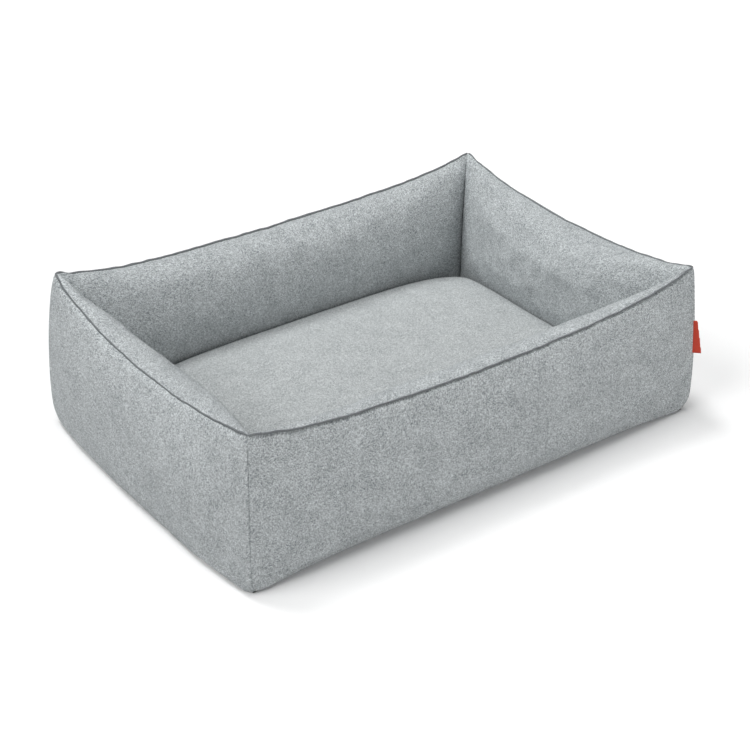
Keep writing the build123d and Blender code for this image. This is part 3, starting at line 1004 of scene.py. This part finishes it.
tape_width, tape_half_length, tape_level = 0.0100, 0.2234, 0.0116
tape_thickness, half_parting = 0.0005, 0.0007
for side, sign in (("back", 1), ("front", -1)):
    shape = cloth_grid(160, 10)
    for vert in shape.verts:
        across = (vert.co.y + 1) / 2 * tape_width
        # A thicker cord is woven in beside the coil.
        cord = 0.0002 * math.exp(-(((across - 0.0022) / 0.0006) ** 2))
        vert.co = (vert.co.x * tape_half_length, zip_y + sign * (half_parting + across), tape_level - cord)
    lay_weave(shape, {vert: vert.co.xy for vert in shape.verts})
    if sign > 0:
        bmesh.ops.reverse_faces(shape, faces=shape.faces)
    tape = finish_piece(f"zip_tape_cloth_{side}", shape, tape_cloth, "mattress")
    thicken(tape, tape_thickness)
    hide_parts(f"zip_tape_{side}")

coil_half_length, coil_turn, wire_radius = 0.2098, 0.0014, 0.00032
for side, sign in (("back", 1), ("front", -1)):
    low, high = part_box(f"zip_coil_{side}")
    centre = [(a + b) / 2 for a, b in zip(low, high)]
    depth, width = high[2] - low[2], high[1] - low[1]
    turns = round(2 * coil_half_length / coil_turn)
    pitch = 2 * coil_half_length / turns
    # One turn of wire, spun round the coil's line and flattened to its oval, is laid again and again.
    steps = 10
    turn_shape = bmesh.new()
    upright = Matrix.Rotation(math.radians(90), 4, "X")
    wire_place = Matrix.Translation((0, 0, depth / 2 - wire_radius)) @ upright
    bmesh.ops.create_circle(turn_shape, segments=6, radius=wire_radius, matrix=wire_place)
    bmesh.ops.spin(
        turn_shape,
        geom=turn_shape.edges[:],
        cent=(0, 0, 0),
        axis=(1, 0, 0),
        dvec=(pitch / steps, 0, 0),
        angle=2 * math.pi * sign,
        steps=steps,
    )
    bmesh.ops.scale(turn_shape, verts=turn_shape.verts, vec=(1, width / depth, 1))
    one_turn = mesh_of("one_turn", turn_shape)
    shape = bmesh.new()
    for step in range(turns):
        start = (-coil_half_length + step * pitch, centre[1], centre[2])
        lay_copy(shape, one_turn, Matrix.Translation(start))
    bmesh.ops.remove_doubles(shape, verts=shape.verts, dist=1e-6)
    bmesh.ops.holes_fill(shape, edges=[e for e in shape.edges if e.is_boundary], sides=0)
    bmesh.ops.recalc_face_normals(shape, faces=shape.faces)
    coil = finish_piece(f"zip_coil_turns_{side}", shape, coil_plastic, "mattress")
    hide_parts(f"zip_coil_{side}")

# One row of stitches through each tape and the channel's roof.
row_from_middle, row_stitches, zip_stitch_length = 0.0075, 126, 0.0027
shape = bmesh.new()
for sign in (-1, 1):
    for step in range(row_stitches):
        x = (step - row_stitches // 2) * stitch_pitch
        start = Vector((x, zip_y + sign * row_from_middle, channel_roof))
        sew(shape, start, start + Vector((zip_stitch_length, 0, 0)))
finish_piece("zip_stitches", shape, thread, "mattress")

for name in ("zip_stop_closed", "zip_stop_open", "zip_slider", "zip_pull"):
    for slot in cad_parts[name].material_slots:
        slot.material = plated_zinc

# ------------------------------
# The side label: a bare red tape, folded in half and caught in the front right corner seam. It
# sticks out from the corner, further at its lower end.
# ------------------------------

# Satin label tape: a clear brick red, close cross ribs of 0.6 mm and a slight sheen.
red_tape, tree = new_material("woven_red_label_tape")
cloth = add(tree, "UVMap", uv_map="UVMap")
cross_ribs = {"Vector": cloth.outputs[0], "Scale": wave_period / 0.0006, "Distortion": 0.3}
ribs = add(tree, "TexWave", cross_ribs, bands_direction="Y")
shade = add(tree, "TexNoise", {"Vector": cloth.outputs[0], "Scale": 1 / 0.0015, "Detail": 2.0})
shades = {"Factor": shade.outputs[0], "A": linear("B93420"), "B": linear("D8472E")}
red = add(tree, "Mix", shades, data_type="RGBA")
rib_bump = add(tree, "Bump", {"Height": ribs.outputs["Fac"], "Distance": 0.0001, "Strength": 0.5})
finish = {"Base Color": red.outputs["Result"], "Normal": rib_bump.outputs[0], "Roughness": 0.75}
surface(tree, add(tree, "BsdfPrincipled", {**finish, "Sheen Weight": 0.1}))

label_bottom, label_height, label_gap = 0.1018, 0.0549, 0.0007
lower_reach, upper_reach = 0.0142, 0.0068
corner_curve = outer_section(1, walls["front"])
shape = cloth_grid(28, 20)
for vert in shape.verts:
    around, up = vert.co.x, (vert.co.y + 1) / 2
    z = label_bottom + label_height * up
    # Its two ends are caught 1 mm inside the corner seam, 2 mm behind the panels' own line.
    root = math.sqrt(2) * (min(corner_curve, key=lambda point: abs(point[1] - z))[0] - 0.002) - 0.001
    reach = lower_reach + (upper_reach - lower_reach) * up
    side = math.copysign(label_gap / 2 * min(1, abs(around) * 12) ** 0.5, around)
    out = reach * (1 - abs(around))
    vert.co = (root + out, side + 0.0004 * math.sin(up * 5 + 0.6) * out / reach, z)
lay_weave(shape, {vert: (vert.co.x * (1 if vert.co.y > 0 else -1), vert.co.z) for vert in shape.verts})
bmesh.ops.rotate(shape, verts=shape.verts, cent=(0, 0, 0), matrix=Matrix.Rotation(math.radians(-45), 3, "Z"))
bmesh.ops.translate(shape, verts=shape.verts, vec=(half_length, -half_width, 0))
label = finish_piece("side_label_tape", shape, red_tape, "rim")
thicken(label, 0.0002)
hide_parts("side_label")

low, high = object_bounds()
